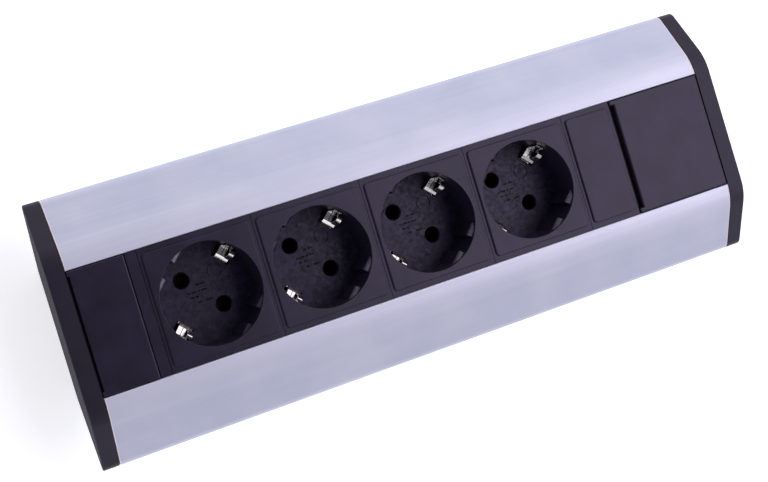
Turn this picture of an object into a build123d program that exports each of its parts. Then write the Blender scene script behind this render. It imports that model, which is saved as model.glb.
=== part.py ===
from build123d import *
import os
from math import atan, cos, radians, sin, sqrt, tan

# A corner power strip: an aluminium profile with two mounting faces at a right angle,
# four earthed round-pin sockets, a blank module and two lift-off end covers.
# X runs along the strip, Y across it and Z out of the front; the flat back lies on Z = 0.

# Places along the strip, from the left end of the profile
left_bay = 22.4
spacer_length = 4.5
socket_pitch = 45.0
socket_count = 4
blank_length = 22.5
right_bay = 42.9

# End view of the profile. The corner width is taken before the corners are rounded,
# which leaves the strip about 103 mm wide.
corner_width = 107.5
body_depth = 43.0
back_flat = 52.6
opening_width = 48.1
lip_width = 5.1
bend_lead = 0.25
wall = 1.8
corner_radius = 3.75
back_radius = 2.0
lip_radius = 0.4
end_chamfer = 0.4
tolerance = 0.01
flange_depth = 6.0
port_radius = 3.0
port_bore = 1.5
port_slit = 1.2
port_merge = 0.3
fixing_radius = 2.3
fixing_from_end = 11.8

# End caps and their screws
cap_thickness = 6.9
cap_lean = 2.2
cap_edge_radius = 0.5
spigot_depth = 4.0
spigot_wall = 1.5
spigot_play = 0.25
flange_room = 1.2
cap_screw_head = 3.0
cap_screw_head_depth = 1.5
cap_screw_shank = 1.45
cap_screw_length = 16.0
screw_play = 0.2
countersink_angle = 45.0
inlet_radius = 5.6
inlet_recess_radius = 7.2
inlet_recess_depth = 1.4
cable_radius = 3.8
grommet_play = 0.1
grommet_flange = 1.2

# Face modules that snap into the opening
module_play = 0.15
module_gap = 0.2
plate_step = 0.8
border_side = 1.2
border_end = 2.2
plate_corner = 1.5
plate_edge_radius = 0.45
border_thickness = 2.0
skirt_thickness = 1.4
skirt_depth = 8.6
hook_reach = 1.2
hook_height = 2.2
hook_play = 0.2
hook_inset = 1.0

# Socket recess, to the size that earthed round-pin plugs need
recess_radius = 19.65
recess_depth = 17.5
rim_radius = 0.2
cup_wall = 1.5
cup_floor = 2.3
pin_spacing = 19.0
pin_hole_radius = 3.0
pin_hole_chamfer = 0.4
pin_angle = 135.0
rib_gap = 7.0
rib_reach = 2.35
rib_top_drop = 0.8
clip_window_reach = 5.75
clip_window_half_width = 3.6
mark_radius = 3.0
mark_groove = 0.35
boss_radius = 3.2
boss_merge = 0.1
boss_bore = 1.2
boss_bore_depth = 10.0

# Insulating base behind each socket
base_wall = 1.2
base_head_play = 0.2
base_floor = 1.6
base_play = 0.7
base_rib_half = 1.0
ear_size = 7.0
ear_thickness = 3.0
notch_play = 0.3
base_screw_head = 2.6
base_screw_head_height = 1.8
base_screw_shank = 1.1
base_screw_grip = 8.0

# Live metal
bus_width = 4.6
bus_thickness = 1.2
earth_bus_width = 5.0
earth_bus_thickness = 1.0
bus_overhang = 12.0
bus_rise_from = 9.0
bus_rise_run = 6.0
contact_sheet = 0.6
contact_length = 5.0
contact_mouth = 3.1
contact_pinch = 2.5
contact_belly = 2.9
contact_foot = 2.6
contact_mouth_drop = 3.0
contact_belly_drop = 8.0
contact_play = 1.2
bracket_sheet = 0.8
bracket_width = 5.6
clip_foot_reach = 4.35
clip_nose_reach = 4.75
clip_nose_height = 3.4
clip_seat_reach = 0.75
clip_seat_height = 8.0
clip_top_height = 10.5
clip_slit = 0.9
clip_slit_offset = 0.9
spring_sheet = 0.8
spring_width = 4.0
spring_foot = 6.0
spring_inset = 0.9
rivet_radius = 1.05
rivet_head = 1.7
rivet_head_height = 0.6
hole_play = 0.05

# Covers of the two end bays, and the carriers that they drop into
cover_gap = 0.3
cover_thickness = 2.6
cover_edge_radius = 0.6
pry_slot_left = 0.8
pry_slot_right = 1.9
pry_slot_inset = 1.95
leg_thickness = 1.3
leg_depth = 7.0
leg_inset = 4.0
carrier_thickness = 2.4
carrier_side_bar = 4.4
carrier_end_bar = 2.0

# Terminal block in the right bay
terminal_from_bay = 6.5
terminal_length = 18.0
terminal_height = 16.6
terminal_wall = 1.5
terminal_centre = 12.0
tray_floor = 1.6
tray_wall = 1.4
tray_margin = 2.0
clamp_length = 14.0
clamp_width = 5.0
clamp_height = 6.4
clamp_bore = 3.4
clamp_bore_height = 3.0
clamp_play = 0.1
tongue_width = 3.0
tongue_length = 12.0
window_width = 3.8
window_height = 3.6
well_radius = 2.4
terminal_screw_head = 2.1
terminal_screw_head_height = 1.6
terminal_screw_shank = 1.45
terminal_screw_spacing = 7.0
terminal_screw_drop = 0.05
cross_width = 0.8
cross_sink = 0.8
cross_span = 1.1

# Levels and places that follow from the sizes above
spacer_start = left_bay
sockets_start = spacer_start + spacer_length
blank_start = sockets_start + socket_count * socket_pitch
right_bay_start = blank_start + blank_length
profile_length = right_bay_start + right_bay
profile_left = -profile_length / 2
profile_right = profile_length / 2
front = body_depth
border_top = front - plate_step
half_opening = opening_width / 2
module_half = half_opening - module_play
recess_floor = front - recess_depth
cup_bottom = recess_floor - cup_floor
base_bottom = wall + base_play
bus_bottom = base_bottom + base_floor
contact_bottom = bus_bottom + bus_thickness
bracket_bottom = cup_bottom - bracket_sheet
earth_bus_bottom = bracket_bottom - earth_bus_thickness
contact_top = cup_bottom - contact_play
pin_offset = pin_spacing / 2 / sqrt(2)
clip_window_inner = recess_radius - clip_window_reach
clip_foot = recess_radius - clip_foot_reach
clip_nose = recess_radius - clip_nose_reach
clip_seat = recess_radius - clip_seat_reach
boss_offset = (recess_radius + cup_wall + boss_radius - boss_merge) / sqrt(2)
base_half_width = boss_offset - base_screw_head - base_head_play
carrier_opening = 2 * (module_half - carrier_side_bar)
pry_slot_length = 2 * (half_opening - cover_gap - pry_slot_inset)
clamp_floor = terminal_centre - clamp_bore_height / 2
cover_bottom = front - cover_thickness
carrier_top = cover_bottom - cover_gap


def along(distance):
    """Place on X of a distance from the left end of the profile."""
    return profile_left + distance


socket_centres = [along(sockets_start + socket_pitch * (n + 0.5)) for n in range(socket_count)]
terminal_left = along(right_bay_start + terminal_from_bay)
terminal_right = terminal_left + terminal_length
terminal_middle = (terminal_left + terminal_right) / 2
pole_places = {"line": pin_offset, "earth": 0.0, "neutral": -pin_offset}

# The two legs stand at 45 degrees, so that the strip fits a right-angled corner.
half_width = corner_width / 2
leg_height = half_width - back_flat / 2
bend_corner = half_opening + lip_width
face_turn = atan((front - leg_height) / (half_width - bend_corner))
bend_radius = (lip_width + bend_lead) / tan(face_turn / 2)
outline = [
    (-back_flat / 2, 0),
    (back_flat / 2, 0),
    (half_width, leg_height),
    (bend_corner, front),
    (-bend_corner, front),
    (-half_width, leg_height),
]
outline_radii = [back_radius, back_radius, corner_radius, bend_radius, bend_radius, corner_radius]


def port_places():
    """Centres of the four screw ports, tucked into the corners of the profile."""
    reach = wall + port_radius - port_merge
    side_normal = (-sin(face_turn), -cos(face_turn))
    leg_normal = (-sin(radians(45)), cos(radians(45)))
    turn = side_normal[0] * leg_normal[1] - side_normal[1] * leg_normal[0]
    out_y = half_width + reach * (leg_normal[1] - side_normal[1]) / turn
    out_z = leg_height + reach * (side_normal[0] - leg_normal[0]) / turn
    back_y = back_flat / 2 + reach * (1 - sqrt(2))
    return [(side * y, z) for side in (-1, 1) for y, z in ((out_y, out_z), (back_y, reach))]


def fixing_planes():
    """Planes on the legs' outer faces, at the fixing holes behind the covers, halfway up a leg."""
    step = leg_height / 2
    planes = []
    for x in (along(fixing_from_end), along(profile_length - fixing_from_end)):
        for side in (-1, 1):
            centre = (x, side * (back_flat / 2 + step), step)
            planes.append(Plane(origin=centre, x_dir=(1, 0, 0), z_dir=(0, side, -1)))
    return planes


def radial_plane(x, angle, height):
    """Upright plane through a socket's axis: its X points outward and its Y points up."""
    out = (cos(radians(angle)), sin(radians(angle)), 0)
    across = (sin(radians(angle)), -cos(radians(angle)), 0)
    return Plane(origin=(x, 0, height), x_dir=out, z_dir=across)


def finish(piece, name):
    """Names a piece and writes it to its own file."""
    piece.label = name
    export_step(piece, f"parts/{name}.step")


def crossed_screws(planes, head_radius, head_height, shank_radius, length, countersunk):
    """Screws with a crossed recess: each plane lies on a head's top and faces out of it."""
    with BuildPart() as group:
        for plane in planes:
            with BuildSketch(plane):
                Circle(head_radius)
            if countersunk:
                extrude(amount=-head_height, taper=countersink_angle)
            else:
                extrude(amount=-head_height)
            with BuildSketch(plane):
                Circle(shank_radius)
            extrude(amount=-length)
            with BuildSketch(plane):
                Rectangle(head_radius * cross_span, cross_width)
                Rectangle(cross_width, head_radius * cross_span)
            extrude(amount=-cross_sink, mode=Mode.SUBTRACT)
    return group.part


# Housing profile: a closed extrusion, open along the front between two inner flanges
profile_start = Plane.YZ.offset(profile_left)
with BuildLine(profile_start) as outline_line:
    FilletPolyline(*outline, radius=outline_radii, close=True)


def on_outline(edge):
    """True for an edge of a cut end that runs along the outside of the profile."""
    middle = edge @ 0.5
    return outline_line.line.distance_to(Vector(profile_left, middle.Y, middle.Z)) < tolerance


os.makedirs("parts", exist_ok=True)
with BuildPart() as housing_profile:
    with BuildSketch(profile_start):
        with BuildLine():
            FilletPolyline(*outline, radius=outline_radii, close=True)
        make_face()
        offset(amount=-wall, mode=Mode.SUBTRACT)
        with Locations((0, front)):
            Rectangle(opening_width, 2 * wall + lip_radius, mode=Mode.SUBTRACT)
        for side in (-1, 1):
            with Locations((side * (half_opening + wall / 2), front - (flange_depth + wall / 2) / 2)):
                Rectangle(wall, flange_depth - wall / 2)
        with Locations(*port_places()):
            Circle(port_radius)
            Circle(port_bore, mode=Mode.SUBTRACT)
        for y, z in port_places():
            inward = 180 if y > 0 else 0
            with Locations(Location((y, z, 0), inward)):
                Rectangle(
                    port_radius + wall, port_slit, align=(Align.MIN, Align.CENTER), mode=Mode.SUBTRACT
                )
    extrude(amount=profile_length)
    cut_ends = housing_profile.faces().filter_by(Axis.X).edges()
    chamfer(cut_ends.filter_by(on_outline), end_chamfer)
    fillet(housing_profile.edges().filter_by(Axis.X).group_by(Axis.Z)[-1], lip_radius)
    for plane in fixing_planes():
        with BuildSketch(plane):
            Circle(fixing_radius)
        extrude(amount=-2 * wall, mode=Mode.SUBTRACT)
finish(housing_profile.part, "housing_profile")

# End caps: plates with the profile's own outline, a spigot inside it and four screws. The outer
# face leans in toward the back, so a cap is thickest along its front.
rim_height = front - flange_depth - flange_room
cap_screw_places = port_places()
hole_clearance = 2.0


def cap_face(height):
    """How far a cap's outer face stands out from the profile's end at a height."""
    return cap_thickness - (front - height) * tan(radians(cap_lean))


inlet_face = cap_face(terminal_centre - inlet_recess_radius)


def end_cap(side, with_inlet):
    """One end cap. Side is -1 for the left end and 1 for the right end."""
    seat = side * profile_length / 2
    below, above = -hole_clearance, front + hole_clearance
    beyond = seat + side * 2 * cap_thickness
    with BuildPart() as cap:
        with BuildSketch(Plane.YZ.offset(seat)):
            with BuildLine():
                FilletPolyline(*outline, radius=outline_radii, close=True)
            make_face()
        extrude(amount=side * (cap_thickness + hole_clearance))
        with BuildSketch(Plane.XZ):
            with BuildLine():
                Polyline(
                    (seat + side * cap_face(below), below),
                    (seat + side * cap_face(above), above),
                    (beyond, above),
                    (beyond, below),
                    close=True,
                )
            make_face()
        extrude(amount=corner_width, both=True, mode=Mode.SUBTRACT)
        fillet(cap.faces().sort_by(Axis.X)[-1 if side > 0 else 0].edges(), cap_edge_radius)
        with BuildSketch(Plane.YZ.offset(seat)):
            with BuildLine():
                FilletPolyline(*outline, radius=outline_radii, close=True)
            make_face()
            offset(amount=-wall - spigot_play, mode=Mode.REPLACE)
            offset(amount=-spigot_wall, mode=Mode.SUBTRACT)
            with Locations((0, front)):
                Rectangle(corner_width, 2 * (front - rim_height), mode=Mode.SUBTRACT)
            with Locations(*cap_screw_places):
                Circle(port_radius + spigot_play, mode=Mode.SUBTRACT)
        extrude(amount=-side * spigot_depth)
        for y, z in cap_screw_places:
            mouth = seat + side * cap_face(z - cap_screw_head)
            with BuildSketch(Plane.YZ.offset(mouth)):
                with Locations((y, z)):
                    Circle(cap_screw_head + screw_play)
            extrude(
                amount=-side * (cap_screw_head_depth + screw_play),
                taper=countersink_angle,
                mode=Mode.SUBTRACT,
            )
            with BuildSketch(Plane.YZ.offset(mouth)):
                with Locations((y, z)):
                    Circle(cap_screw_shank + screw_play)
            extrude(amount=-side * cap_thickness, mode=Mode.SUBTRACT)
            with BuildSketch(Plane.YZ.offset(mouth)):
                with Locations((y, z)):
                    Circle(cap_screw_head + screw_play)
            extrude(amount=side * hole_clearance, mode=Mode.SUBTRACT)
        if with_inlet:
            mouth = seat + side * inlet_face
            with BuildSketch(Plane.YZ.offset(mouth)):
                with Locations((0, terminal_centre)):
                    Circle(inlet_radius)
            extrude(amount=-side * cap_thickness, mode=Mode.SUBTRACT)
            with BuildSketch(Plane.YZ.offset(mouth - side * inlet_recess_depth)):
                with Locations((0, terminal_centre)):
                    Circle(inlet_recess_radius)
            extrude(amount=side * (inlet_recess_depth + hole_clearance), mode=Mode.SUBTRACT)
    return cap.part


def cap_screws(side):
    """The four countersunk screws of one end cap, sunk a little below its face."""
    planes = []
    for y, z in cap_screw_places:
        head = side * (profile_length / 2 + cap_face(z - cap_screw_head) - screw_play)
        planes.append(Plane(origin=(head, y, z), x_dir=(0, 1, 0), z_dir=(side, 0, 0)))
    return crossed_screws(
        planes, cap_screw_head, cap_screw_head_depth, cap_screw_shank, cap_screw_length, True
    )


finish(end_cap(-1, False), "left_end_cap")
finish(end_cap(1, True), "right_end_cap")
finish(cap_screws(-1), "left_cap_screws")
finish(cap_screws(1), "right_cap_screws")

# Cable inlet: a soft grommet held in the right cap by its two flanges
grommet_outer = profile_right + inlet_face - screw_play
grommet_inner = profile_right - grommet_flange
waist_outer = profile_right + inlet_face - inlet_recess_depth
with BuildPart() as cable_grommet:
    with BuildSketch(Plane.YZ.offset(grommet_inner)):
        with Locations((0, terminal_centre)):
            Circle(inlet_recess_radius - grommet_play)
    extrude(amount=grommet_flange)
    with BuildSketch(Plane.YZ.offset(profile_right)):
        with Locations((0, terminal_centre)):
            Circle(inlet_radius - grommet_play)
    extrude(amount=waist_outer - profile_right)
    with BuildSketch(Plane.YZ.offset(waist_outer)):
        with Locations((0, terminal_centre)):
            Circle(inlet_recess_radius - grommet_play)
    extrude(amount=grommet_outer - waist_outer)
    with BuildSketch(Plane.YZ.offset(grommet_inner)):
        with Locations((0, terminal_centre)):
            Circle(cable_radius)
    extrude(amount=grommet_outer - grommet_inner, mode=Mode.SUBTRACT)
finish(cable_grommet.part, "cable_grommet")


# Face modules share one body: a border plate, sprung skirts and hooks under the flanges
def side_hooks(left, right, top, bottom):
    """Two skirts along the opening, from top down to bottom, with hooks under the flanges."""
    hook_top = front - flange_depth - hook_play
    with BuildPart() as skirts:
        for side in (-1, 1):
            with BuildSketch(Plane.YZ.offset(left)):
                with BuildLine():
                    Polyline(
                        (side * module_half, top),
                        (side * module_half, hook_top),
                        (side * (module_half + hook_reach), hook_top),
                        (side * module_half, hook_top - hook_height),
                        (side * module_half, bottom),
                        (side * (module_half - skirt_thickness), bottom),
                        (side * (module_half - skirt_thickness), top),
                        close=True,
                    )
                make_face()
            extrude(amount=right - left)
    return skirts.part


def face_module(left, right, raised):
    """The visible plate of a module between two places on X, with its skirts."""
    middle = (left + right) / 2
    length = right - left - module_gap
    low, high = left + module_gap / 2 + hook_inset, right - module_gap / 2 - hook_inset
    skirts = side_hooks(low, high, border_top - border_thickness / 2, front - skirt_depth)
    with BuildPart() as module:
        with BuildSketch(Plane.XY.offset(border_top)):
            with Locations((middle, 0)):
                Rectangle(length, 2 * module_half)
        extrude(amount=-border_thickness)
        add(skirts)
        if raised:
            with BuildSketch(Plane.XY.offset(border_top)):
                with Locations((middle, 0)):
                    RectangleRounded(
                        length - 2 * border_side, 2 * (module_half - border_end), plate_corner
                    )
            extrude(amount=plate_step)
            fillet(module.faces().sort_by(Axis.Z)[-1].edges(), plate_edge_radius)
    return module.part


# Socket fronts: face plate, plug recess, pin holes, guide ribs and screw bosses in one moulding
def guide_ribs(x):
    """Two ribs beside each pin of the socket at x. Each has a flat face toward the middle and a
    round crest that leads the plug in, and it dies out where that flat meets the round wall."""
    outer = recess_radius + cup_wall / 2
    face_place = recess_radius - rib_reach
    crest_top = -rib_top_drop
    crest_foot = crest_top - rib_reach
    ribs = []
    for angle in (pin_angle, pin_angle + 180):
        for side in (-1, 1):
            with BuildPart() as rib:
                with BuildSketch(radial_plane(x, angle, front)):
                    with BuildLine():
                        CenterArc((recess_radius, crest_foot), rib_reach, 90, 90)
                        Polyline(
                            (face_place, crest_foot),
                            (face_place, -recess_depth),
                            (outer, -recess_depth),
                            (outer, crest_top),
                            (recess_radius, crest_top),
                        )
                    make_face()
                extrude(amount=side * outer)
                with BuildSketch(radial_plane(x, angle, front)):
                    with Locations((face_place, -front / 2)):
                        Rectangle(outer, 2 * front)
                extrude(amount=side * rib_gap / 2, mode=Mode.SUBTRACT)
                with BuildSketch(Plane.XY.offset(recess_floor)):
                    with Locations((x, 0)):
                        Circle(outer)
                extrude(amount=recess_depth, mode=Mode.INTERSECT)
            ribs.append(rib.part)
    return ribs


def socket_front(x):
    """The moulded front of the socket whose axis stands at x."""
    plate = face_module(x - socket_pitch / 2, x + socket_pitch / 2, True)
    boss_places = [(x - boss_offset, boss_offset), (x + boss_offset, -boss_offset)]
    pin_places = [(x - pin_offset, pin_offset), (x + pin_offset, -pin_offset)]
    with BuildPart() as moulding:
        add(plate)
        with BuildSketch(Plane.XY.offset(cup_bottom)):
            with Locations((x, 0)):
                Circle(recess_radius + cup_wall)
            with Locations(*boss_places):
                Circle(boss_radius)
        extrude(amount=border_top - border_thickness / 2 - cup_bottom)
        with BuildSketch(Plane.XY.offset(recess_floor)):
            with Locations((x, 0)):
                Circle(recess_radius)
        extrude(amount=recess_depth + plate_step, mode=Mode.SUBTRACT)
        rim = moulding.edges().filter_by(GeomType.CIRCLE).group_by(Axis.Z)[-1]
        fillet(rim.sort_by(SortBy.RADIUS)[-1:], rim_radius)
        for rib in guide_ribs(x):
            add(rib)
        with BuildSketch(Plane.XY.offset(recess_floor)):
            with Locations(*pin_places):
                Circle(pin_hole_radius)
        extrude(amount=-cup_floor, mode=Mode.SUBTRACT)
        mouths = (
            moulding.edges()
            .filter_by(GeomType.CIRCLE)
            .filter_by_position(Axis.Z, recess_floor - tolerance, recess_floor + tolerance)
            .filter_by(lambda edge: abs(edge.radius - pin_hole_radius) < tolerance)
        )
        chamfer(mouths, pin_hole_chamfer)
        for angle in (pin_angle - 90, pin_angle + 90):
            with BuildSketch(radial_plane(x, angle, recess_floor)):
                with Locations(((clip_window_inner + recess_radius) / 2, -cup_floor / 2)):
                    Rectangle(recess_radius - clip_window_inner, cup_floor)
            extrude(amount=clip_window_half_width, both=True, mode=Mode.SUBTRACT)
        with BuildSketch(Plane.XY.offset(recess_floor)):
            with Locations((x + pin_offset, pin_offset)):
                Circle(mark_radius)
                Circle(mark_radius - mark_groove, mode=Mode.SUBTRACT)
        extrude(amount=-mark_groove, mode=Mode.SUBTRACT)
        with BuildSketch(Plane.XY.offset(cup_bottom)):
            with Locations(*boss_places):
                Circle(boss_bore)
        extrude(amount=boss_bore_depth, mode=Mode.SUBTRACT)
    return moulding.part


# Socket bases: insulating trays that hold the live metal behind each recess
def socket_base(x):
    """The tray behind the socket at x: two channels, a middle rib and two screw ears."""
    length = socket_pitch - module_gap - hook_inset
    ear_places = [(x - boss_offset, boss_offset), (x + boss_offset, -boss_offset)]
    inner_half = base_half_width - base_wall
    with BuildPart() as tray:
        with BuildSketch(Plane.XY.offset(base_bottom)):
            with Locations((x, 0)):
                Rectangle(length, 2 * base_half_width)
        extrude(amount=cup_bottom - base_bottom)
        for side in (-1, 1):
            with BuildSketch(Plane.XY.offset(bus_bottom)):
                with Locations((x, side * (inner_half + base_rib_half) / 2)):
                    Rectangle(length - 2 * base_wall, inner_half - base_rib_half)
            extrude(amount=cup_bottom - bus_bottom, mode=Mode.SUBTRACT)
        with BuildSketch(Plane.XY.offset(earth_bus_bottom - notch_play)):
            with Locations((x, 0)):
                Rectangle(length - 2 * base_wall, 2 * inner_half)
                Rectangle(length, earth_bus_width + 2 * notch_play)
        extrude(amount=cup_bottom - earth_bus_bottom + notch_play, mode=Mode.SUBTRACT)
        with BuildSketch(Plane.XY.offset(bus_bottom)):
            with Locations((x, pin_offset), (x, -pin_offset)):
                Rectangle(length, bus_width + 2 * notch_play)
        extrude(amount=bus_thickness + notch_play, mode=Mode.SUBTRACT)
        with BuildSketch(Plane.XY.offset(cup_bottom)):
            with Locations(*ear_places):
                Rectangle(ear_size, ear_size)
        extrude(amount=-ear_thickness)
        with BuildSketch(Plane.XY.offset(cup_bottom)):
            with Locations(*ear_places):
                Circle(base_screw_shank + notch_play)
        extrude(amount=-ear_thickness, mode=Mode.SUBTRACT)
    return tray.part


def base_screws(x):
    """Two pan-head screws that pull the base up against the socket front."""
    head_face = cup_bottom - ear_thickness - base_screw_head_height
    planes = [
        Plane(origin=(x - side * boss_offset, side * boss_offset, head_face), z_dir=(0, 0, -1))
        for side in (-1, 1)
    ]
    length = base_screw_head_height + ear_thickness + base_screw_grip
    return crossed_screws(
        planes, base_screw_head, base_screw_head_height, base_screw_shank, length, False
    )


# Pin contacts: sprung tulips of folded sheet, welded onto the busbars
def pin_contact(x, y):
    """The contact that grips a plug pin whose axis stands at x, y."""
    foot = contact_bottom + contact_sheet / 2
    side_view = [
        (-contact_mouth, contact_top),
        (-contact_pinch, contact_top - contact_mouth_drop),
        (-contact_belly, contact_top - contact_belly_drop),
        (-contact_foot, foot),
        (contact_foot, foot),
        (contact_belly, contact_top - contact_belly_drop),
        (contact_pinch, contact_top - contact_mouth_drop),
        (contact_mouth, contact_top),
    ]
    with BuildPart() as contact:
        with BuildSketch(Plane.YZ.offset(x - contact_length / 2)):
            with BuildLine():
                Polyline(*[(y + across, height) for across, height in side_view])
            trace(line_width=contact_sheet)
        extrude(amount=contact_length)
    return contact.part


# Earth brackets: one strip per socket, under the recess floor, with a sprung clip at each end
def earth_bracket(x):
    """The bracket of the socket at x, in the upright plane across the pins."""
    bar = cup_bottom - bracket_sheet / 2
    half_view = [
        (clip_foot, bar),
        (clip_nose, recess_floor + clip_nose_height),
        (clip_seat, recess_floor + clip_seat_height),
        (clip_seat, recess_floor + clip_top_height),
    ]
    far_view = [(-out, height) for out, height in reversed(half_view)]
    slit_low = recess_floor + clip_nose_height + bracket_sheet
    slit_high = recess_floor + clip_top_height + bracket_sheet
    with BuildPart() as bracket:
        with BuildSketch(radial_plane(x, pin_angle - 90, 0)):
            with BuildLine():
                Polyline(*far_view, *half_view)
            trace(line_width=bracket_sheet)
        extrude(amount=bracket_width / 2, both=True)
        for end in (-1, 1):
            with BuildSketch(radial_plane(x, pin_angle - 90, 0).offset(clip_slit_offset - clip_slit / 2)):
                with Locations((end * clip_seat, (slit_low + slit_high) / 2)):
                    Rectangle(2 * (clip_seat - clip_nose), slit_high - slit_low)
            extrude(amount=clip_slit, mode=Mode.SUBTRACT)
    return bracket.part


for number, x in enumerate(socket_centres, start=1):
    finish(socket_front(x), f"socket_{number}_front")
    finish(socket_base(x), f"socket_{number}_base")
    finish(base_screws(x), f"socket_{number}_screws")
    finish(pin_contact(x - pin_offset, pin_offset), f"socket_{number}_line_contact")
    finish(pin_contact(x + pin_offset, -pin_offset), f"socket_{number}_neutral_contact")
    finish(earth_bracket(x), f"socket_{number}_earth_bracket")

# Busbars: flat strips under all four sockets that step to the height of the terminal block
bus_start = socket_centres[0] - bus_overhang
bus_end = terminal_left + terminal_wall + tongue_length
bus_rise_start = along(blank_start + bus_rise_from)
bus_rise_end = bus_rise_start + bus_rise_run


def busbar(y, level, width, thickness, hole_x):
    """A busbar at y, with its underside at level, that ends in a narrow tongue."""
    middle = level + thickness / 2
    tongue = clamp_floor + thickness / 2
    with BuildPart() as bar:
        with BuildSketch(Plane.XZ.offset(-y)):
            with BuildLine():
                Polyline(
                    (bus_start, middle),
                    (bus_rise_start, middle),
                    (bus_rise_end, tongue),
                    (bus_end, tongue),
                )
            trace(line_width=thickness)
        extrude(amount=width / 2, both=True)
        for side in (-1, 1):
            with BuildSketch(Plane.XY.offset(clamp_floor - thickness)):
                with Locations((terminal_left - tray_margin, y + side * tongue_width / 2)):
                    Rectangle(
                        bus_end - terminal_left + 2 * tray_margin,
                        width,
                        align=(Align.MIN, Align.MIN if side > 0 else Align.MAX),
                    )
            extrude(amount=3 * thickness, mode=Mode.SUBTRACT)
        if hole_x is not None:
            with BuildSketch(Plane.XY.offset(level)):
                with Locations((hole_x, y)):
                    Circle(rivet_radius + hole_play)
            extrude(amount=thickness, mode=Mode.SUBTRACT)
    return bar.part


# The earth spring hangs under the earth bar and presses on the profile, so that it is earthed.
spring_start = along(blank_start + spring_inset)
rivet_x = spring_start + spring_foot / 2
spring_top = earth_bus_bottom - spring_sheet / 2
with BuildPart() as housing_earth_spring:
    with BuildSketch(Plane.XZ):
        with BuildLine():
            Polyline(
                (spring_start + spring_foot, spring_top),
                (spring_start, spring_top),
                (spring_start, wall + spring_sheet / 2),
                (spring_start + spring_foot, wall + spring_sheet / 2),
            )
        trace(line_width=spring_sheet)
    extrude(amount=spring_width / 2, both=True)
    with BuildSketch(Plane.XY.offset(earth_bus_bottom - spring_sheet)):
        with Locations((rivet_x, 0)):
            Circle(rivet_radius + hole_play)
    extrude(amount=spring_sheet, mode=Mode.SUBTRACT)
finish(housing_earth_spring.part, "housing_earth_spring")

rivet_low = earth_bus_bottom - spring_sheet - rivet_head_height
with BuildPart() as earth_rivet:
    with BuildSketch(Plane.XY.offset(rivet_low)):
        with Locations((rivet_x, 0)):
            Circle(rivet_head)
    extrude(amount=rivet_head_height)
    with BuildSketch(Plane.XY.offset(rivet_low)):
        with Locations((rivet_x, 0)):
            Circle(rivet_radius)
    extrude(amount=rivet_head_height + spring_sheet + earth_bus_thickness)
    with BuildSketch(Plane.XY.offset(bracket_bottom)):
        with Locations((rivet_x, 0)):
            Circle(rivet_head)
    extrude(amount=rivet_head_height)
finish(earth_rivet.part, "earth_rivet")

finish(busbar(pole_places["line"], bus_bottom, bus_width, bus_thickness, None), "line_busbar")
finish(busbar(pole_places["neutral"], bus_bottom, bus_width, bus_thickness, None), "neutral_busbar")
finish(busbar(0, earth_bus_bottom, earth_bus_width, earth_bus_thickness, rivet_x), "earth_busbar")

# Terminal block: an insulating body, three brass clamps and six screws
block_half = pin_offset + clamp_width / 2 + clamp_play + terminal_wall
block_bottom = wall + tray_floor
block_top = block_bottom + terminal_height
clamp_top = terminal_centre + clamp_height / 2
screw_places = [
    (terminal_middle + side * terminal_screw_spacing / 2, y)
    for y in pole_places.values()
    for side in (-1, 1)
]
pole_points = [(terminal_middle, y) for y in pole_places.values()]
with BuildPart() as terminal_block:
    with BuildSketch(Plane.XY.offset(block_bottom)):
        with Locations((terminal_middle, 0)):
            Rectangle(terminal_length, 2 * block_half)
    extrude(amount=terminal_height)
    with BuildSketch(Plane.XY.offset(terminal_centre - clamp_height / 2)):
        with Locations(*pole_points):
            Rectangle(clamp_length + 2 * clamp_play, clamp_width + 2 * clamp_play)
    extrude(amount=clamp_height + clamp_play, mode=Mode.SUBTRACT)
    with BuildSketch(Plane.XY.offset(terminal_centre - window_height / 2)):
        with Locations(*pole_points):
            Rectangle(terminal_length, window_width)
    extrude(amount=window_height, mode=Mode.SUBTRACT)
    with BuildSketch(Plane.XY.offset(terminal_centre)):
        with Locations(*screw_places):
            Circle(well_radius)
    extrude(amount=block_top - terminal_centre, mode=Mode.SUBTRACT)
finish(terminal_block.part, "terminal_block")

with BuildPart() as terminal_clamps:
    with BuildSketch(Plane.XY.offset(terminal_centre - clamp_height / 2)):
        with Locations(*pole_points):
            Rectangle(clamp_length, clamp_width)
    extrude(amount=clamp_height)
    with BuildSketch(Plane.XY.offset(clamp_floor)):
        with Locations(*pole_points):
            Rectangle(clamp_length, clamp_bore)
    extrude(amount=clamp_bore_height, mode=Mode.SUBTRACT)
    with BuildSketch(Plane.XY.offset(terminal_centre)):
        with Locations(*screw_places):
            Circle(terminal_screw_shank + hole_play)
    extrude(amount=clamp_height / 2, mode=Mode.SUBTRACT)
finish(terminal_clamps.part, "terminal_clamps")

screw_tip = clamp_floor + bus_thickness + terminal_screw_drop
terminal_screw_face = clamp_top + terminal_screw_head_height + screw_play
finish(
    crossed_screws(
        [Plane(origin=(x, y, terminal_screw_face)) for x, y in screw_places],
        terminal_screw_head,
        terminal_screw_head_height,
        terminal_screw_shank,
        terminal_screw_face - screw_tip,
        False,
    ),
    "terminal_screws",
)

# Spacer strip and blank module fill the opening beside the sockets.
finish(face_module(along(spacer_start), along(sockets_start), False), "spacer_strip")
finish(face_module(along(blank_start), along(right_bay_start), True), "blank_module")


# Carriers: frames that snap into the end bays, under the covers
leg_row = carrier_opening / 2 - cover_gap - leg_thickness / 2


def leg_length(left, right):
    """Length of a cover's guide legs in the bay between two places on X."""
    return right - left - 2 * cover_gap - 2 * leg_inset - 2 * carrier_end_bar


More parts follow.
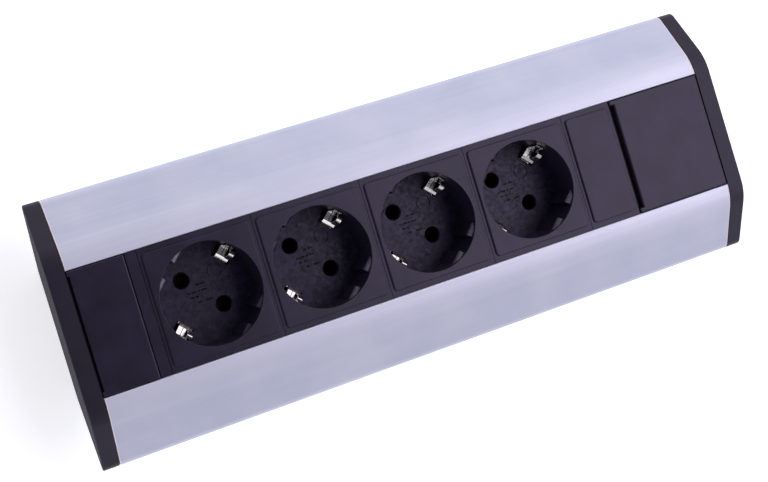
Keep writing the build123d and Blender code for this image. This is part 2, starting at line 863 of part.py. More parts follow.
def carrier(left, right, with_tray):
    """The frame of one end bay, open in the middle so that the screws behind it are in reach."""
    middle = (left + right) / 2
    length = right - left - module_gap
    low, high = left + module_gap / 2 + hook_inset, right - module_gap / 2 - hook_inset
    skirts = side_hooks(low, high, carrier_top - carrier_thickness / 2, front - skirt_depth)
    tray_half = block_half + notch_play
    tray_left = terminal_left - tray_margin
    tray_right = terminal_right + tray_margin
    tray_middle = (tray_left + tray_right) / 2
    with BuildPart() as frame:
        with BuildSketch(Plane.XY.offset(carrier_top)):
            with Locations((middle, 0)):
                Rectangle(length, 2 * module_half)
                Rectangle(length - 2 * carrier_end_bar, carrier_opening, mode=Mode.SUBTRACT)
            if with_tray:
                for side in (-1, 1):
                    with Locations((tray_middle, side * tray_half)):
                        Rectangle(
                            tray_right - tray_left,
                            carrier_opening / 2 - tray_half + tray_wall,
                            align=(Align.CENTER, Align.MIN if side > 0 else Align.MAX),
                        )
            with Locations((middle, leg_row), (middle, -leg_row)):
                Rectangle(
                    leg_length(left, right) + 2 * cover_gap,
                    leg_thickness + 2 * cover_gap,
                    mode=Mode.SUBTRACT,
                )
        extrude(amount=-carrier_thickness)
        add(skirts)
        if with_tray:
            with BuildSketch(Plane.XY.offset(wall)):
                with Locations((tray_middle, 0)):
                    Rectangle(tray_right - tray_left, 2 * (tray_half + tray_wall))
            extrude(amount=tray_floor)
            for side in (-1, 1):
                with BuildSketch(Plane.XY.offset(wall)):
                    with Locations((tray_middle, side * (tray_half + tray_wall / 2))):
                        Rectangle(tray_right - tray_left, tray_wall)
                extrude(amount=carrier_top - carrier_thickness / 2 - wall)
    return frame.part


finish(carrier(along(0), along(left_bay), False), "left_carrier")
finish(carrier(along(right_bay_start), along(profile_length), True), "right_carrier")


# Lift-off covers: plain plates with four guide legs and a slot to get a blade under one edge
def cover(left, right, slot):
    """The cover of one end bay. Its pry slot lies along its left edge."""
    low, high = left + cover_gap, right - cover_gap
    middle = (low + high) / 2
    with BuildPart() as plate:
        with BuildSketch(Plane.XY.offset(cover_bottom)):
            with Locations((middle, 0)):
                Rectangle(high - low, 2 * (half_opening - cover_gap))
            with Locations((low, 0)):
                Rectangle(2 * slot, pry_slot_length, mode=Mode.SUBTRACT)
        extrude(amount=cover_thickness)
        fillet(plate.faces().sort_by(Axis.Z)[-1].edges(), cover_edge_radius)
        for side in (-1, 1):
            with BuildSketch(Plane.XY.offset(cover_bottom)):
                with Locations((middle, side * leg_row)):
                    Rectangle(leg_length(left, right), leg_thickness)
            extrude(amount=-leg_depth)
    return plate.part


finish(cover(along(0), along(left_bay), pry_slot_left), "left_cover")
finish(cover(along(right_bay_start), along(profile_length), pry_slot_right), "right_cover")
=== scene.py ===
from math import radians, sqrt

import bmesh
import bpy
from mathutils import Euler, Matrix, Vector


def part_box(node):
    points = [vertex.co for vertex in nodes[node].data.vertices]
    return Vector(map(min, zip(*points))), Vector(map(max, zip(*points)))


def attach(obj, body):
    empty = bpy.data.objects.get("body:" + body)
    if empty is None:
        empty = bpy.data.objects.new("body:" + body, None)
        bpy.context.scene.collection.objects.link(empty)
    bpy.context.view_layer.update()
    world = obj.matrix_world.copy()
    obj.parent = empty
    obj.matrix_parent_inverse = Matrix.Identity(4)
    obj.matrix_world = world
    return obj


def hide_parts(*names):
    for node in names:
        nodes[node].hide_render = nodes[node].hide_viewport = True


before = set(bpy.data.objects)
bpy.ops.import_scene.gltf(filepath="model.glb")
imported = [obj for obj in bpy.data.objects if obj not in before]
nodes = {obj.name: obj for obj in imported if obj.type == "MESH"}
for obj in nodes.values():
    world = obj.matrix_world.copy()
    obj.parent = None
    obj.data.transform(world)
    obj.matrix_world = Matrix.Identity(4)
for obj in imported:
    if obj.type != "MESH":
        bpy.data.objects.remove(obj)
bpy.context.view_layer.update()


# The housing profile is one extruded length of aluminium, sawn square, its cut edges broken
# with a file, then etched and clear anodised. The two broad faces beside the opening are what
# the eye sees first.
MM = 0.001
profile = nodes["housing_profile"]
profile_low, profile_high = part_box("housing_profile")

# Sockets of a mix node that share a name, by their numbers: for values, then for colours.
value_a = 2
value_b = 3
mixed_value = 0
colour_a = 6
colour_b = 7
mixed_colour = 2


def srgb(code):
    """The linear colour, with alpha, of an sRGB hex code such as "#C8C9D6"."""
    parts = [int(code[i:i + 2], 16) / 255 for i in (1, 3, 5)]
    return tuple(c / 12.92 if c <= 0.04045 else ((c + 0.055) / 1.055) ** 2.4 for c in parts) + (1.0,)


def add(tree, kind, inputs, **settings):
    """Adds a node. Each input is a value, or the output socket of another node that feeds it."""
    node = tree.nodes.new(kind)
    for name, value in settings.items():
        setattr(node, name, value)
    for name, value in inputs.items():
        if isinstance(value, bpy.types.NodeSocket):
            tree.links.new(value, node.inputs[name])
        else:
            node.inputs[name].default_value = value
    return node


def new_material(name):
    """An empty material with a shader and an output, and its shader."""
    material = bpy.data.materials.new(name)
    material.use_nodes = True
    tree = material.node_tree
    tree.nodes.clear()
    output = add(tree, "ShaderNodeOutputMaterial", {})
    shader = add(tree, "ShaderNodeBsdfPrincipled", {})
    tree.links.new(shader.outputs["BSDF"], output.inputs["Surface"])
    return material, shader


def per_metre(size_mm):
    """Scale of a pattern whose features are about size_mm across, in coordinates in metres."""
    return 1 / (size_mm * MM)


def dress(names, material):
    """Gives CAD nodes a material."""
    for name in names:
        mesh = nodes[name].data
        mesh.materials.clear()
        mesh.materials.append(material)


def anodised_aluminium():
    """Aluminium, extruded, etched and clear anodised: a soft metal sheen of a cool, faintly
    violet silver, with barely visible die lines along the strip and a slightly cloudy film. The
    bends beside the opening are painted paler as a painted highlight, and handling has rubbed the
    film thin at the two ends. Real die lines are finer and are drawn as coarse as they show."""
    line_length = 90
    line_pitch = 0.9
    cloud = 26
    rub_begins = 0.75
    rub_ends = 0.5
    rubbed_roughness = 0.75
    highlight_begins = 37
    highlight_ends = 28
    highlight_share = 0.46
    material, shader = new_material("anodised_aluminium_extruded")
    tree = material.node_tree
    place = add(tree, "ShaderNodeTexCoord", {})
    stretch = add(tree, "ShaderNodeMapping", {
        "Vector": place.outputs["Object"],
        "Scale": (per_metre(line_length), per_metre(line_pitch), per_metre(line_pitch)),
    })
    lines = add(tree, "ShaderNodeTexNoise", {
        "Vector": stretch.outputs["Vector"], "Scale": 1.0, "Detail": 2.0,
    })
    film = add(tree, "ShaderNodeTexNoise", {
        "Vector": place.outputs["Object"], "Scale": per_metre(cloud), "Detail": 3.0,
    })
    tint = add(tree, "ShaderNodeValToRGB", {"Fac": film.outputs["Fac"]})
    tint.color_ramp.elements[0].position = 0.35
    tint.color_ramp.elements[0].color = srgb("#CCCFDF")
    tint.color_ramp.elements[1].position = 0.68
    tint.color_ramp.elements[1].color = srgb("#D5D6E4")
    rough = add(tree, "ShaderNodeMapRange", {
        "Value": lines.outputs["Fac"], "From Min": 0.3, "From Max": 0.7,
        "To Min": 0.60, "To Max": 0.68,
    })
    relief = add(tree, "ShaderNodeBump", {
        "Height": lines.outputs["Fac"], "Strength": 0.25, "Distance": 0.02 * MM,
    })
    split = add(tree, "ShaderNodeSeparateXYZ", {"Vector": place.outputs["Object"]})
    along = add(tree, "ShaderNodeMath", {0: split.outputs["X"]}, operation="ABSOLUTE")
    rubbed = add(tree, "ShaderNodeMapRange", {
        "Value": along.outputs["Value"],
        "From Min": profile_high.x - rub_begins * MM, "From Max": profile_high.x - rub_ends * MM,
    })
    across = add(tree, "ShaderNodeMath", {0: split.outputs["Y"]}, operation="ABSOLUTE")
    # Painted highlight: the colour turns paler towards the bends beside the opening.
    bend_highlight = add(tree, "ShaderNodeMapRange", {
        "Value": across.outputs["Value"],
        "From Min": highlight_begins * MM, "From Max": highlight_ends * MM, "To Max": highlight_share,
    })
    highlighted_colour = add(tree, "ShaderNodeMix", {
        "Factor": bend_highlight.outputs["Result"], colour_a: tint.outputs["Color"], colour_b: srgb("#F0F0FA"),
    }, data_type="RGBA")
    film_colour = add(tree, "ShaderNodeMix", {
        "Factor": rubbed.outputs["Result"],
        colour_a: highlighted_colour.outputs[mixed_colour], colour_b: srgb("#FFF0F0"),
    }, data_type="RGBA")
    shine = add(tree, "ShaderNodeMix", {
        "Factor": rubbed.outputs["Result"], value_a: rough.outputs["Result"], value_b: rubbed_roughness,
    })
    tree.links.new(film_colour.outputs[mixed_colour], shader.inputs["Base Color"])
    tree.links.new(shine.outputs[mixed_value], shader.inputs["Roughness"])
    tree.links.new(relief.outputs["Normal"], shader.inputs["Normal"])
    shader.inputs["Metallic"].default_value = 1.0
    return material


def filed_aluminium():
    """Aluminium, sawn and filed: the broken edge at each end is bright and warm beside the
    cool anodised faces, with fine marks across it."""
    file_pitch = 0.5
    material, shader = new_material("bare_aluminium_filed")
    tree = material.node_tree
    place = add(tree, "ShaderNodeTexCoord", {})
    marks = add(tree, "ShaderNodeTexNoise", {
        "Vector": place.outputs["Object"], "Scale": per_metre(file_pitch), "Detail": 2.0,
    })
    relief = add(tree, "ShaderNodeBump", {
        "Height": marks.outputs["Fac"], "Strength": 0.3, "Distance": 0.02 * MM,
    })
    tree.links.new(relief.outputs["Normal"], shader.inputs["Normal"])
    shader.inputs["Base Color"].default_value = srgb("#F4E4E2")
    shader.inputs["Metallic"].default_value = 1.0
    shader.inputs["Roughness"].default_value = 0.34
    return material


dress(["housing_profile"], anodised_aluminium())
profile.data.materials.append(filed_aluminium())
filed_reach = 0.45 * MM
least_slope = 0.3
for face in profile.data.polygons:
    from_end = min(abs(face.center.x - profile_low.x), abs(face.center.x - profile_high.x))
    if from_end < filed_reach and abs(face.normal.x) > least_slope:
        face.material_index = 1


# The end caps are moulded in glass-filled nylon, textured all over so that finger marks and
# sink marks don't show. Four countersunk screws in the profile's ports hold each one. Their
# outer faces come from a coarser part of the mould and are duller.
def textured_plastic(name, dark, light, cloud_mm, grain_mm, depth_mm, rough, reflection=0.5):
    """A black moulded plastic from a spark-eroded mould: a fine even grain breaks its sheen,
    and flow in the mould leaves faint paler clouds. A reflection of 0.5 is that of a clean skin.
    Real grain is about 0.1 mm and wouldn't show, so it is drawn at 0.5 mm or more."""
    rough_low, rough_high = rough
    material, shader = new_material(name)
    tree = material.node_tree
    place = add(tree, "ShaderNodeTexCoord", {})
    flow = add(tree, "ShaderNodeTexNoise", {
        "Vector": place.outputs["Object"], "Scale": per_metre(cloud_mm),
        "Detail": 5.0, "Roughness": 0.62,
    })
    grain = add(tree, "ShaderNodeTexNoise", {
        "Vector": place.outputs["Object"], "Scale": per_metre(grain_mm),
        "Detail": 3.0, "Roughness": 0.6,
    })
    tint = add(tree, "ShaderNodeValToRGB", {"Fac": flow.outputs["Fac"]})
    tint.color_ramp.elements[0].position = 0.38
    tint.color_ramp.elements[0].color = srgb(dark)
    tint.color_ramp.elements[1].position = 0.66
    tint.color_ramp.elements[1].color = srgb(light)
    sheen = add(tree, "ShaderNodeMapRange", {
        "Value": grain.outputs["Fac"], "From Min": 0.3, "From Max": 0.7,
        "To Min": rough_low, "To Max": rough_high,
    })
    relief = add(tree, "ShaderNodeBump", {
        "Height": grain.outputs["Fac"], "Strength": 0.5, "Distance": depth_mm * MM,
    })
    tree.links.new(tint.outputs["Color"], shader.inputs["Base Color"])
    tree.links.new(sheen.outputs["Result"], shader.inputs["Roughness"])
    tree.links.new(relief.outputs["Normal"], shader.inputs["Normal"])
    shader.inputs["IOR"].default_value = 1.5
    shader.inputs["Specular Tint"].default_value = srgb("#EEE6FF")
    shader.inputs["Specular IOR Level"].default_value = reflection
    return material


def zinc_plated_steel():
    """Steel, cold formed and zinc plated: a grey metal with a faint blue cast, patchy where
    the plating varies."""
    patch = 1.2
    material, shader = new_material("steel_zinc_plated")
    tree = material.node_tree
    place = add(tree, "ShaderNodeTexCoord", {})
    patches = add(tree, "ShaderNodeTexNoise", {
        "Vector": place.outputs["Object"], "Scale": per_metre(patch), "Detail": 3.0,
    })
    tint = add(tree, "ShaderNodeValToRGB", {"Fac": patches.outputs["Fac"]})
    tint.color_ramp.elements[0].color = srgb("#A9AEB8")
    tint.color_ramp.elements[1].color = srgb("#CBCDD2")
    rough = add(tree, "ShaderNodeMapRange", {
        "Value": patches.outputs["Fac"], "To Min": 0.28, "To Max": 0.42,
    })
    tree.links.new(tint.outputs["Color"], shader.inputs["Base Color"])
    tree.links.new(rough.outputs["Result"], shader.inputs["Roughness"])
    shader.inputs["Metallic"].default_value = 1.0
    return material


end_caps = ["left_end_cap", "right_end_cap"]
cap_nylon = textured_plastic(
    "nylon_glass_filled_textured", dark="#15121D", light="#1C1827",
    cloud_mm=17, grain_mm=0.7, depth_mm=0.02, rough=(0.42, 0.54),
)
outer_nylon = textured_plastic(
    "nylon_glass_filled_matt", dark="#15121D", light="#1C1827",
    cloud_mm=17, grain_mm=0.9, depth_mm=0.05, rough=(0.62, 0.74), reflection=0.18,
)
dress(end_caps, cap_nylon)
outer_face_from = 139 * MM
facing_out = 0.9
for cap_name in end_caps:
    cap = nodes[cap_name].data
    cap.materials.append(outer_nylon)
    for face in cap.polygons:
        if abs(face.normal.x) > facing_out and abs(face.center.x) > outer_face_from:
            face.material_index = 1
zinc = zinc_plated_steel()
dress(["left_cap_screws", "right_cap_screws"], zinc)


# The cable grommet is moulded in black rubber and snapped into the right cap by its flanges.
# A cord would pass through its bore into the wiring space.
def dull_rubber():
    """Rubber, moulded: near black, dull, with a dusty bloom in fine specks."""
    speck = 0.9
    material, shader = new_material("rubber_moulded")
    tree = material.node_tree
    place = add(tree, "ShaderNodeTexCoord", {})
    bloom = add(tree, "ShaderNodeTexNoise", {
        "Vector": place.outputs["Object"], "Scale": per_metre(speck), "Detail": 4.0,
    })
    tint = add(tree, "ShaderNodeValToRGB", {"Fac": bloom.outputs["Fac"]})
    tint.color_ramp.elements[0].color = srgb("#19181B")
    tint.color_ramp.elements[1].color = srgb("#2C2A2E")
    relief = add(tree, "ShaderNodeBump", {
        "Height": bloom.outputs["Fac"], "Strength": 0.4, "Distance": 0.05 * MM,
    })
    tree.links.new(tint.outputs["Color"], shader.inputs["Base Color"])
    tree.links.new(relief.outputs["Normal"], shader.inputs["Normal"])
    shader.inputs["Roughness"].default_value = 0.78
    return material


dress(["cable_grommet"], dull_rubber())


# The carriers that the covers drop into, the terminal block and the socket bases are inside
# mouldings of flame-retardant polyester. They come straight from a polished mould, so they are
# darker and shinier than the pieces that are meant to be seen.
socket_numbers = range(1, 5)
inner_polyester = textured_plastic(
    "polyester_moulded_plain", dark="#121015", light="#19171D",
    cloud_mm=17, grain_mm=1.6, depth_mm=0.01, rough=(0.34, 0.44),
)
dress(["left_carrier", "right_carrier", "terminal_block"], inner_polyester)
dress([f"socket_{n}_base" for n in socket_numbers], inner_polyester)


# Busbars, pin contacts and terminal clamps are stamped from half-hard brass strip. The bars and
# clamps are left bare, and the contacts that a plug's pins slide into are tin plated. The
# terminals and the bases are closed with zinc-plated screws.
def stamped_brass(name, dull, bright):
    """Brass, rolled and stamped: long rolling marks break its shine and a film dulls it."""
    mark_length = 22
    mark_pitch = 0.6
    film_patch = 4
    material, shader = new_material(name)
    tree = material.node_tree
    place = add(tree, "ShaderNodeTexCoord", {})
    stretch = add(tree, "ShaderNodeMapping", {
        "Vector": place.outputs["Object"],
        "Scale": (per_metre(mark_length), per_metre(mark_pitch), per_metre(mark_pitch)),
    })
    rolled = add(tree, "ShaderNodeTexNoise", {
        "Vector": stretch.outputs["Vector"], "Scale": 1.0, "Detail": 3.0,
    })
    film = add(tree, "ShaderNodeTexNoise", {
        "Vector": place.outputs["Object"], "Scale": per_metre(film_patch), "Detail": 4.0,
    })
    tint = add(tree, "ShaderNodeValToRGB", {"Fac": film.outputs["Fac"]})
    tint.color_ramp.elements[0].color = srgb(dull)
    tint.color_ramp.elements[1].color = srgb(bright)
    rough = add(tree, "ShaderNodeMapRange", {
        "Value": rolled.outputs["Fac"], "To Min": 0.18, "To Max": 0.42,
    })
    tree.links.new(tint.outputs["Color"], shader.inputs["Base Color"])
    tree.links.new(rough.outputs["Result"], shader.inputs["Roughness"])
    shader.inputs["Metallic"].default_value = 1.0
    return material


brass = stamped_brass("brass_rolled_and_stamped", "#A8823F", "#DDBB72")
tinned_brass = stamped_brass("brass_tin_plated", "#6F6F76", "#A2A2A8")
dress(["line_busbar", "neutral_busbar", "earth_busbar", "earth_rivet", "terminal_clamps"], brass)
dress([f"socket_{n}_line_contact" for n in socket_numbers], tinned_brass)
dress([f"socket_{n}_neutral_contact" for n in socket_numbers], tinned_brass)
dress(["terminal_screws"] + [f"socket_{n}_screws" for n in socket_numbers], zinc)


# The earth bracket of each socket is a nickel-plated steel strip under the recess floor. Both
# ends turn up through a window as a sprung clip that wipes the plug's earth contact. It lies
# across the socket's diagonal, and each end is slit into two tongues and a curled finger.
clip_sheet = 0.55
clip_bend = 0.3
bend_points = 5
sheared_edge = 0.07
diagonal = sqrt(0.5)
bar_height = 22.8
bar = [(-15.3, bar_height), (15.3, bar_height)]
clip_leg = [(15.0, bar_height), (14.2, 27.0), (15.6, 27.9)]
clip_tongue = [(15.5, 27.84), (18.9, 28.62), (19.1, 29.4), (19.05, 37.0)]
clip_finger = [(15.5, 27.84), (15.6, 29.8), (16.2, 32.2), (17.4, 33.3), (18.5, 32.5), (18.85, 29.5)]
bar_span = (-2.7, 2.7)
leg_span = (-2.6, 2.75)
narrow_tongue_span = (-0.45, 0.75)
wide_tongue_span = (1.0, 2.75)
finger_span = (-2.75, -0.75)
socket_places = []
for number in socket_numbers:
    front_low, front_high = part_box(f"socket_{number}_front")
    socket_places.append((front_low.x + front_high.x) / 2)


def nickel_plated_steel():
    """Steel strip, stamped, bent and bright nickel plated: it mirrors the lamps as white
    glints, a little broken by stamping marks."""
    mark_size = 1.1
    material, shader = new_material("steel_nickel_plated")
    tree = material.node_tree
    place = add(tree, "ShaderNodeTexCoord", {})
    marks = add(tree, "ShaderNodeTexNoise", {
        "Vector": place.outputs["Object"], "Scale": per_metre(mark_size), "Detail": 3.0,
    })
    tint = add(tree, "ShaderNodeValToRGB", {"Fac": marks.outputs["Fac"]})
    tint.color_ramp.elements[0].color = srgb("#C9C4BE")
    tint.color_ramp.elements[1].color = srgb("#EEEAE6")
    rough = add(tree, "ShaderNodeMapRange", {
        "Value": marks.outputs["Fac"], "To Min": 0.12, "To Max": 0.3,
    })
    relief = add(tree, "ShaderNodeBump", {
        "Height": marks.outputs["Fac"], "Strength": 0.35, "Distance": 0.06 * MM,
    })
    tree.links.new(tint.outputs["Color"], shader.inputs["Base Color"])
    tree.links.new(rough.outputs["Result"], shader.inputs["Roughness"])
    tree.links.new(relief.outputs["Normal"], shader.inputs["Normal"])
    shader.inputs["Metallic"].default_value = 1.0
    return material


def soft_corners(corners):
    """A path through the corners, in mm, with each inner corner bent round."""
    path = [Vector(corners[0])]
    for before, corner, after in zip(corners, corners[1:], corners[2:]):
        before, corner, after = Vector(before), Vector(corner), Vector(after)
        start = corner.lerp(before, min(0.5, clip_bend / (before - corner).length))
        end = corner.lerp(after, min(0.5, clip_bend / (after - corner).length))
        for step in range(bend_points):
            k = step / (bend_points - 1)
            path.append(start.lerp(corner, k).lerp(corner.lerp(end, k), k))
    path.append(Vector(corners[-1]))
    return path


def link_piece(name, mesh):
    """A new object in the scene with that mesh."""
    piece = bpy.data.objects.new(name, mesh)
    bpy.context.scene.collection.objects.link(piece)
    return piece


def bent_strips(name, socket_x, strips):
    """One sheet-metal piece. Each strip is a side, a path of (reach from the socket's axis,
    height) and the two places across the diagonal between which it lies, all in mm."""
    sheet = bmesh.new()
    for side, corners, span in strips:
        rows = []
        for reach, height in soft_corners(corners):
            row = []
            for across in span:
                x = socket_x + (side * reach - across) * diagonal * MM
                y = (side * reach + across) * diagonal * MM
                row.append(sheet.verts.new((x, y, height * MM)))
            rows.append(row)
        for here, there in zip(rows, rows[1:]):
            face = sheet.faces.new((here[0], here[1], there[1], there[0]))
            face.smooth = True
    bmesh.ops.recalc_face_normals(sheet, faces=sheet.faces)
    mesh = bpy.data.meshes.new(name)
    sheet.to_mesh(mesh)
    sheet.free()
    piece = link_piece(name, mesh)
    thick = piece.modifiers.new("sheet_thickness", "SOLIDIFY")
    thick.thickness = clip_sheet * MM
    thick.offset = 0.0
    rounding = piece.modifiers.new("sheared_edges", "BEVEL")
    rounding.width = sheared_edge * MM
    rounding.segments = 2
    rounding.limit_method = "ANGLE"
    rounding.harden_normals = True
    return piece


nickel = nickel_plated_steel()
dress(["housing_earth_spring"], nickel)
dress([f"socket_{n}_earth_bracket" for n in socket_numbers], nickel)
for number, socket_x in zip(socket_numbers, socket_places):
    strips = [(1, bar, bar_span)]
    for side in (-1, 1):
        strips.append((side, clip_leg, leg_span))
        strips.append((side, clip_tongue, narrow_tongue_span))
        strips.append((side, clip_tongue, wide_tongue_span))
        strips.append((side, clip_finger, finger_span))
    bracket = bent_strips(f"socket_{number}_earth_clips", socket_x, strips)
    bracket.data.materials.append(nickel)
    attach(bracket, "housing")
    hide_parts(f"socket_{number}_earth_bracket")


# The spacer strip, the blank module and the two lift-off covers are moulded in black ABS, in
# spark-eroded moulds with a finer grain than the caps. They are flat lids and fillers that snap
# in level with the socket fronts.
face_abs = textured_plastic(
    "abs_spark_eroded", dark="#1A1624", light="#251F32",
    cloud_mm=14, grain_mm=0.55, depth_mm=0.015, rough=(0.28, 0.40),
)
dress(["spacer_strip", "blank_module", "left_cover", "right_cover"], face_abs)


# The socket fronts are moulded in the same black ABS and snap into the profile's opening. The
# floors of their recesses are left coarser from the electrode, so they look mottled, and their
# colour is darker as painted shade from the recess walls. The crests of the guide ribs on one
# side of each socket are painted grey as a painted highlight, where light falls on them.
dress([f"socket_{n}_front" for n in socket_numbers], face_abs)
# Recess floor colour: a real coarse mottled grain, and darker than the face as painted shade.
shaded_recess_abs = textured_plastic(
    "abs_coarse_painted_shade", dark="#080612", light="#302A46",
    cloud_mm=2.2, grain_mm=1.8, depth_mm=0.19, rough=(0.34, 0.62),
)
# Painted highlights: grey and pale crest colours stand in for light falling on one side of the rib
# crests.
crest_highlight_abs = textured_plastic(
    "abs_painted_highlight_grey", dark="#49454F", light="#5D5965",
    cloud_mm=2.0, grain_mm=0.6, depth_mm=0.02, rough=(0.30, 0.42),
)
pale_crest_highlight_abs = textured_plastic(
    "abs_painted_highlight_pale", dark="#6E6A78", light="#84808D",
    cloud_mm=2.0, grain_mm=0.6, depth_mm=0.02, rough=(0.30, 0.42),
)
face_height = 43.0
recess_depth = 17.5
recess_floor = (face_height - recess_depth) * MM
floor_margin = 0.5 * MM
crest_low = (face_height - 3.3) * MM
crest_high = (face_height - 0.7) * MM
recess_reach = 19.62 * MM
flattest_crest = 0.9
steepest_crest = 0.1
# For each socket, the side whose rib crests carry the painted highlight, and its colour.
painted_crest_highlights = ((-1, pale_crest_highlight_abs), (1, crest_highlight_abs), (1, crest_highlight_abs), (1, crest_highlight_abs))
for number, socket_x, (lit_side, highlight_abs) in zip(socket_numbers, socket_places, painted_crest_highlights):
    front = nodes[f"socket_{number}_front"].data
    front.materials.append(shaded_recess_abs)
    front.materials.append(highlight_abs)
    for face in front.polygons:
        in_recess = Vector((face.center.x - socket_x, face.center.y)).length < recess_reach
        on_floor = abs(face.center.z - recess_floor) < floor_margin
        at_crest = crest_low < face.center.z < crest_high
        on_curve = steepest_crest < face.normal.z < flattest_crest
        on_lit_side = (face.center.x - socket_x) * lit_side > 0
        if in_recess and on_floor:
            face.material_index = 1
        if in_recess and at_crest and on_curve and on_lit_side:
            face.material_index = 2


# Plain raised dashes stand in the middle of each recess floor, part of the same moulding. They
# are smooth, and their near-black colour is painted shade standing in for their shadows.
mark_width = 0.5
mark_height = 0.3
mark_edge = 0.08
mark_rows = (
    (3.6, ((-1.9, -0.6), (0.1, 1.7))),
    (1.0, ((-5.6, -4.9), (-4.2, -2.2), (-1.6, -0.7), (0.0, 2.0))),
    (-0.9, ((-5.0, -3.6), (-2.9, -1.9))),
    (-3.1, ((-2.6, -1.2), (0.7, 3.0))),
)
# Painted shade: the dashes are coloured near black, darker than the floor around them.
shaded_mark_abs = textured_plastic(
    "abs_marks_painted_shade", dark="#060509", light="#0B0910",
    cloud_mm=3.0, grain_mm=0.5, depth_mm=0.01, rough=(0.30, 0.40), reflection=0.12,
)


def floor_marks(name, socket_x):
    """The dashes of one recess. Each row is a place across the strip, and the start and end of
    each dash along it, from the socket's axis and in mm."""
    marks = bmesh.new()
    middle_z = recess_floor + mark_height / 2 * MM
    for row, dashes in mark_rows:
        for start, end in dashes:
            size = Matrix.Diagonal(((end - start) * MM, mark_width * MM, mark_height * MM, 1))
            centre = Vector((socket_x + (start + end) / 2 * MM, row * MM, middle_z))
            bmesh.ops.create_cube(marks, size=1, matrix=Matrix.Translation(centre) @ size)
    mesh = bpy.data.meshes.new(name)
    marks.to_mesh(mesh)
    marks.free()
    piece = link_piece(name, mesh)
    softened = piece.modifiers.new("worn_edges", "BEVEL")
    softened.width = mark_edge * MM
    softened.segments = 2
    return piece


for number, socket_x in zip(socket_numbers, socket_places):
    marks = floor_marks(f"socket_{number}_floor_marks", socket_x)
    marks.data.materials.append(shaded_mark_abs)
    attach(marks, "housing")


# The floor is a plain white card, large enough for every view. Where the camera sees it
# directly it is lifted to white, and the shadow of the strip stays on it.
floor_half = 6.0
floor_lift = 0.60


def white_card():
    """Matt white card: its own shading, plus a little light of its own, which the camera and
    the shiny pieces see."""
    material = bpy.data.materials.new("card_white_matt")
    material.use_nodes = True
    tree = material.node_tree
    tree.nodes.clear()
    output = add(tree, "ShaderNodeOutputMaterial", {})
    card = add(tree, "ShaderNodeBsdfDiffuse", {"Color": srgb("#F4F4F6")})
    ray = add(tree, "ShaderNodeLightPath", {})
    direct = add(tree, "ShaderNodeMath", {
        0: ray.outputs["Is Camera Ray"], 1: ray.outputs["Is Glossy Ray"],
    }, operation="ADD")
    through = add(tree, "ShaderNodeMath", {
        0: direct.outputs["Value"], 1: ray.outputs["Is Transmission Ray"],
    }, operation="ADD")
    seen = add(tree, "ShaderNodeMath", {
        0: through.outputs["Value"], 1: floor_lift,
    }, operation="MULTIPLY")
    lift = add(tree, "ShaderNodeEmission", {
        "Color": srgb("#FFFFFF"), "Strength": seen.outputs["Value"],
    })
    both = add(tree, "ShaderNodeAddShader", {0: card.outputs["BSDF"], 1: lift.outputs["Emission"]})
    tree.links.new(both.outputs["Shader"], output.inputs["Surface"])
    return material


floor_corners = [(x * floor_half, y * floor_half, 0) for x, y in ((-1, -1), (1, -1), (1, 1), (-1, 1))]
floor_mesh = bpy.data.meshes.new("floor")
floor_mesh.from_pydata(floor_corners, [], [(0, 1, 2, 3)])
floor_mesh.materials.append(white_card())
floor = link_piece("floor", floor_mesh)


# A long softbox hangs over the right half of the strip, a second one stands behind it, and a
# small one at the left lifts the lower face and the clips. Places and sizes are in metres.
def softbox(name, place, aim, width, height, power, colour):
    """A rectangular lamp at place that faces aim."""
    lamp = bpy.data.lights.new(name, "AREA")
    lamp.shape = "RECTANGLE"
    lamp.size = width
    lamp.size_y = height
    lamp.energy = power
    lamp.color = srgb(colour)[:3]
    holder = link_piece(name, lamp)
    holder.location = place
    holder.rotation_euler = (Vector(aim) - Vector(place)).to_track_quat("-Z", "Y").to_euler()


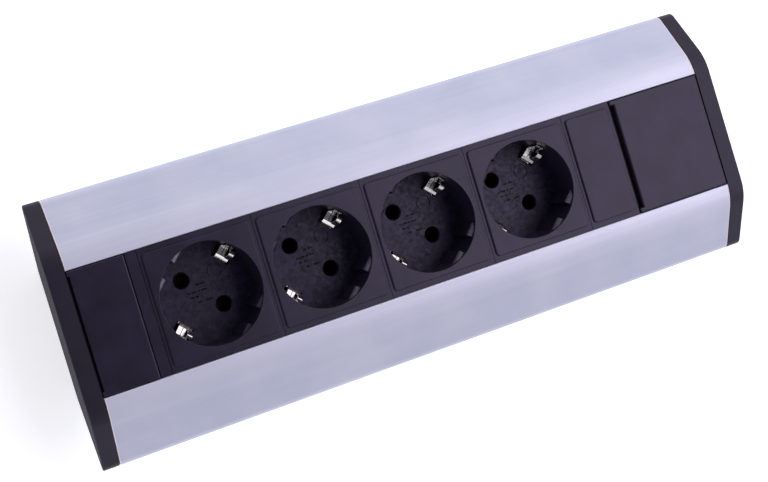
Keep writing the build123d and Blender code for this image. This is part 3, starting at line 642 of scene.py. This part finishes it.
softbox(
    "key_softbox", place=(0.46, 0.0, 0.70), aim=(0.02, 0, 0.03),
    width=1.1, height=0.68, power=3.9, colour="#FBF4FF",
)
softbox(
    "back_softbox", place=(0.25, 1.10, 0.62), aim=(0.0, 0, 0.03),
    width=1.3, height=0.6, power=2.2, colour="#FFFFFF",
)
softbox(
    "left_softbox", place=(-0.75, -0.75, 0.60), aim=(-0.02, 0, 0.03),
    width=0.7, height=0.45, power=1.2, colour="#FFFFFF",
)


# The room is a pale studio, white around the horizon and dim overhead. Each level is the sine
# of the height above the horizon and the colour of the wall there.
room_levels = (
    (0.10, "#FFFFFF"),
    (0.26, "#C8C8D6"),
    (0.62, "#A6A6B4"),
    (0.84, "#72727F"),
    (0.97, "#45454E"),
)
world = bpy.data.worlds.new("studio")
bpy.context.scene.world = world
world.use_nodes = True
world_tree = world.node_tree
world_tree.nodes.clear()
direction = add(world_tree, "ShaderNodeTexCoord", {})
upward = add(world_tree, "ShaderNodeSeparateXYZ", {"Vector": direction.outputs["Generated"]})
room = add(world_tree, "ShaderNodeValToRGB", {"Fac": upward.outputs["Z"]})
while len(room.color_ramp.elements) < len(room_levels):
    room.color_ramp.elements.new(0.5)
for element, (level, colour) in zip(room.color_ramp.elements, room_levels):
    element.position = level
    element.color = srgb(colour)
walls = add(world_tree, "ShaderNodeBackground", {"Color": room.outputs["Color"], "Strength": 1.0})
world_output = add(world_tree, "ShaderNodeOutputWorld", {})
world_tree.links.new(walls.outputs["Background"], world_output.inputs["Surface"])
bpy.context.scene.view_settings.view_transform = "Standard"


# The camera stands to the left of the strip and looks down at it, rolled so that the strip
# climbs to the right, as in the photograph. The shift frames it as the photograph does.
sensor_width = 36.0
lens_length = 64.017
camera_shift = (0.0893, -0.0833)
camera_place = (-0.18543, 0.04081, 0.54128)
camera_turn = (3.8384, -16.3594, -17.5913)
nearest_seen = 0.01
camera_data = bpy.data.cameras.new("camera")
camera_data.sensor_width = sensor_width
camera_data.lens = lens_length
camera_data.shift_x, camera_data.shift_y = camera_shift
camera_data.clip_start = nearest_seen
camera = link_piece("camera", camera_data)
camera.location = camera_place
camera.rotation_euler = Euler([radians(turn) for turn in camera_turn], "XYZ")
bpy.context.scene.camera = camera
